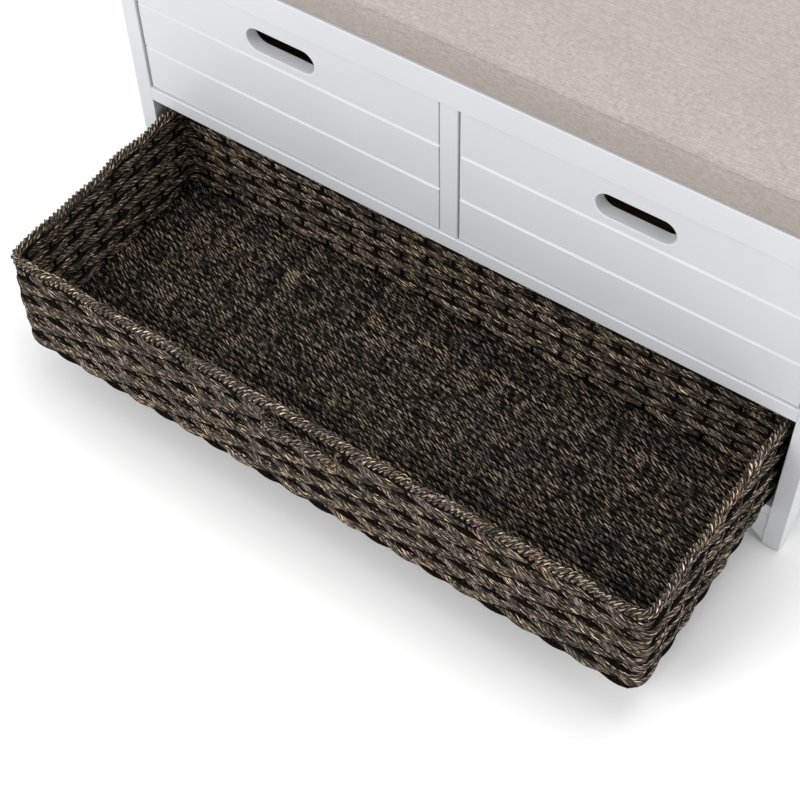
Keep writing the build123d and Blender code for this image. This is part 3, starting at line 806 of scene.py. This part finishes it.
class BENCH_OT_make_cushion(bpy.types.Operator):
    """Make the boxed cushion: a foam block in a linen cover that puffs between its seams"""

    bl_idname = "bench.make_cushion"
    bl_label = "Make Cushion"

    def execute(self, context):
        looks = context.scene.bench_looks
        low, high = (Vector(corner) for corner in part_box("cushion_cover"))
        linen = slub_linen(tuple(looks.linen))
        size = high - low + Vector((2 * MM, 2 * MM, 0))
        centre = (low + high) / 2
        bpy.ops.object.select_all(action="DESELECT")
        bpy.ops.mesh.primitive_cube_add(size=1, location=centre)
        cushion = context.object
        cushion.name = "cushion"
        cushion.scale = size
        bpy.ops.object.transform_apply(location=True, rotation=True, scale=True)
        self.round_off(cushion)
        remesh = cushion.modifiers.new("even_mesh", "REMESH")
        remesh.mode = "VOXEL"
        remesh.voxel_size = 5.5 * MM
        bpy.ops.object.modifier_apply(modifier=remesh.name)
        self.crown(cushion, low, high)
        self.puff(cushion, low, high, looks.swell)
        smooth = cushion.modifiers.new("smooth", "SUBSURF")
        smooth.levels = smooth.render_levels = 1
        select_only(cushion)
        bpy.ops.object.modifier_apply(modifier=smooth.name)
        bpy.ops.object.shade_smooth()
        cushion.data.materials.clear()
        cushion.data.materials.append(linen)
        belongs(cushion, "cushion", "linen", "cushion_cover", "cushion_foam")
        self.sew(cushion, low, high, linen)
        return {"FINISHED"}

    @staticmethod
    def round_off(cushion):
        """Round the upright corners, then the soft top edge and the tighter bottom edge."""
        select_only(cushion)
        top, bottom = (pick(v.co.z for v in cushion.data.vertices) for pick in (max, min))
        for level, width in ((None, 16 * MM), (top, 15 * MM), (bottom, 2 * MM)):
            bpy.ops.object.mode_set(mode="EDIT")
            bpy.ops.mesh.select_mode(type="EDGE")
            bpy.ops.mesh.select_all(action="DESELECT")
            bpy.ops.object.mode_set(mode="OBJECT")
            mesh = cushion.data
            for edge in mesh.edges:
                a, b = (mesh.vertices[i].co.z for i in edge.vertices)
                if level is None:
                    edge.select = abs(a - b) > (top - bottom) / 2
                else:
                    edge.select = max(abs(a - level), abs(b - level)) < 1e-5
            bpy.ops.object.mode_set(mode="EDIT")
            bpy.ops.mesh.bevel(offset=width, segments=6, profile=0.5)
            bpy.ops.object.mode_set(mode="OBJECT")

    @staticmethod
    def crown(cushion, low, high):
        """Raise the middle of the top and draw the sides in between the corners."""
        mesh = cushion.data
        points = np.empty(len(mesh.vertices) * 3)
        mesh.vertices.foreach_get("co", points)
        points = points.reshape(-1, 3)
        centre = np.array((low + high) / 2)
        half = np.array((high - low) / 2)
        place = (points - centre) / half
        lift = np.clip((points[:, 2] - low.z) / (high.z - low.z), 0, 1)
        dome = (1 - place[:, 0] ** 4) * (1 - place[:, 1] ** 2)
        points[:, 2] += 1.6 * MM * dome * lift
        side, size = np.sign(place), np.abs(place)
        points[:, 1] -= 0.8 * MM * side[:, 1] * size[:, 1] ** 6 * (1 - size[:, 0] ** 2)
        points[:, 0] -= 0.8 * MM * side[:, 0] * size[:, 0] ** 12 * (1 - size[:, 1] ** 2)
        foot = np.clip(1 - (points[:, 2] - low.z) / (9 * MM), 0, 1)[:, None]
        reach = half[:2] - np.abs(points[:, :2] - centre[:2])
        near = np.clip(1 - reach / (8 * MM), 0, 1)
        points[:, :2] += 2.4 * MM * foot * near * np.sign(place[:, :2])
        mesh.vertices.foreach_set("co", points.ravel())
        mesh.update()

    @staticmethod
    def puff(cushion, low, high, swell):
        """Cloth under pressure, held along the seams, with each point's motion capped."""
        mesh = cushion.data
        start = np.array([v.co[:] for v in mesh.vertices])
        held = cushion.vertex_groups.new(name="seams")
        seam_top, seam_low = high.z - SEAM_BELOW_TOP, low.z + SEAM_ABOVE_BASE
        centre, half = (low + high) / 2, (high - low) / 2
        for vertex in mesh.vertices:
            out = max(abs(vertex.co.x - centre.x) - half.x, abs(vertex.co.y - centre.y) - half.y)
            from_seam = min(abs(vertex.co.z - seam_top), abs(vertex.co.z - seam_low))
            if out > -7.5 * MM and from_seam < 3 * MM:
                held.add([vertex.index], 1.0, "REPLACE")
        cloth = cushion.modifiers.new("cover", "CLOTH")
        settings = cloth.settings
        settings.quality = 4
        settings.use_pressure = True
        settings.uniform_pressure_force = 4
        settings.effector_weights.gravity = 0
        settings.vertex_group_mass = held.name
        settings.tension_stiffness = 30
        settings.compression_stiffness = 30
        settings.bending_stiffness = 1.5
        scene = bpy.context.scene
        for step in range(1, 21):
            scene.frame_set(step)
        shaped = cushion.evaluated_get(bpy.context.evaluated_depsgraph_get()).to_mesh()
        end = np.array([v.co[:] for v in shaped.vertices])
        cushion.to_mesh_clear()
        cushion.modifiers.remove(cloth)
        scene.frame_set(1)
        motion = end - start
        distance = np.linalg.norm(motion, axis=1)[:, None]
        motion *= np.minimum(1, swell / np.maximum(distance, 1e-9))
        final = start + motion
        final[:, 2] = np.maximum(final[:, 2], low.z)
        final[:, 2] = np.minimum(final[:, 2], high.z + 6 * MM)
        mesh.vertices.foreach_set("co", final.ravel())
        mesh.update()

    @staticmethod
    def sew(cushion, low, high, linen):
        """A narrow turned seam round the top and the bottom of the boxing strip."""
        tree = BVHTree.FromObject(cushion, bpy.context.evaluated_depsgraph_get())
        centre, half = (low + high) / 2, (high - low) / 2
        seams = Sweep()
        for height in (high.z - SEAM_BELOW_TOP, low.z + SEAM_ABOVE_BASE):
            angles = np.linspace(0, 2 * math.pi, 900, endpoint=False)
            rays = np.stack([np.cos(angles), np.sin(angles)], 1)
            reach = 1 / np.max(np.abs(rays) / np.array(half[:2]), axis=1)
            line = []
            for ray, distance in zip(rays, reach):
                aim = centre + Vector((*(ray * distance), 0))
                aim.z = height
                line.append(tree.find_nearest(aim)[0][:])
            points = np.array(line)
            for _ in range(3):
                points = (points + np.roll(points, 1, axis=0) + np.roll(points, -1, axis=0)) / 3
            tangent = np.roll(points, -1, axis=0) - np.roll(points, 1, axis=0)
            tangent /= np.linalg.norm(tangent, axis=1)[:, None]
            ups = np.tile([0.0, 0, 1], (len(points), 1))
            outs = np.cross(tangent, ups)
            seams.add(points, ups, outs, round_section(0.9 * MM, 6), 1.0, closed=True)
        belongs(seams.piece("cushion_seams", linen), "cushion", "linen")


class BENCH_OT_set_stage(bpy.types.Operator):
    """Lay a pale floor, light it softly, and set the camera"""

    bl_idname = "bench.set_stage"
    bl_label = "Set Stage"

    AZIMUTH = math.radians(36.61)
    ELEVATION = math.radians(53.31)
    ROLL = math.radians(-2.03)
    EYE = (0.6284, -0.9792, 1.4680)
    LENS = 74.1

    def execute(self, context):
        scene = context.scene
        bpy.ops.object.select_all(action="DESELECT")
        bpy.ops.mesh.primitive_plane_add(size=9, location=(0, 0, 0))
        floor = context.object
        floor.name = "studio_floor"
        floor.data.materials.append(studio_paper())
        floor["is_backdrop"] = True
        self.light("key_softbox", (-0.9, -2.4, 2.3), 1.4, 46)
        self.light("top_softbox", (0.3, 0.3, 2.8), 1.6, 30)
        self.light("side_softbox", (2.4, -0.4, 1.6), 1.4, 10)
        world = bpy.data.worlds.new("studio_world")
        world.use_nodes = True
        world.node_tree.nodes["Background"].inputs["Color"].default_value = (1, 1, 1, 1)
        world.node_tree.nodes["Background"].inputs["Strength"].default_value = 0.68
        scene.world = world
        scene.view_settings.view_transform = "Standard"
        self.camera(scene)
        return {"FINISHED"}

    @staticmethod
    def light(name, place, size, power):
        """A square softbox that faces the bench."""
        lamp = bpy.data.lights.new(name, "AREA")
        lamp.shape = "SQUARE"
        lamp.size = size
        lamp.energy = power
        lamp_object = bpy.data.objects.new(name, lamp)
        lamp_object.location = place
        aim = Vector((0, 0, 0.2)) - Vector(place)
        lamp_object.rotation_euler = aim.to_track_quat("-Z", "Y").to_euler()
        bpy.context.collection.objects.link(lamp_object)

    def camera(self, scene):
        """High on the right of the front, turned a little about its own axis."""
        back = Vector((
            math.sin(self.AZIMUTH) * math.cos(self.ELEVATION),
            -math.cos(self.AZIMUTH) * math.cos(self.ELEVATION),
            math.sin(self.ELEVATION)))
        level = Vector((math.cos(self.AZIMUTH), math.sin(self.AZIMUTH), 0))
        upright = back.cross(level)
        right = level * math.cos(self.ROLL) + upright * math.sin(self.ROLL)
        up = upright * math.cos(self.ROLL) - level * math.sin(self.ROLL)
        camera = bpy.data.cameras.new("camera")
        camera.lens = self.LENS
        camera.sensor_width = 36
        camera_object = bpy.data.objects.new("camera", camera)
        camera_object.matrix_world = Matrix.Translation(self.EYE) @ Matrix(
            (right, up, back)).transposed().to_4x4()
        scene.collection.objects.link(camera_object)
        scene.camera = camera_object


class BENCH_PT_looks(bpy.types.Panel):
    """The bench's sizes, colours and steps"""

    bl_idname = "BENCH_PT_looks"
    bl_label = "Entryway Bench"
    bl_space_type = "VIEW_3D"
    bl_region_type = "UI"
    bl_category = "Bench"

    def draw(self, context):
        for name in BenchLooks.__annotations__:
            self.layout.prop(context.scene.bench_looks, name)
        for step in STEPS:
            self.layout.operator(step.bl_idname)


STEPS = (
    BENCH_OT_set_stage,
    BENCH_OT_finish_boards,
    BENCH_OT_weave_walls,
    BENCH_OT_fill_weave,
    BENCH_OT_weave_floor,
    BENCH_OT_bind_rim,
    BENCH_OT_make_cushion,
)


def register():
    for item in (BenchLooks, *STEPS, BENCH_PT_looks):
        bpy.utils.register_class(item)
    bpy.types.Scene.bench_looks = PointerProperty(type=BenchLooks)


def unregister():
    del bpy.types.Scene.bench_looks
    for item in (BENCH_PT_looks, *reversed(STEPS), BenchLooks):
        bpy.utils.unregister_class(item)


def main():
    register()
    for step in STEPS:
        getattr(bpy.ops.bench, step.bl_idname.split(".")[1])()
    sizes = {"cad": CAD_BOUNDS, "visual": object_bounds()}
    sizes = {name: [list(map(float, corner)) for corner in box] for name, box in sizes.items()}


if __name__ == "__main__":
    main()
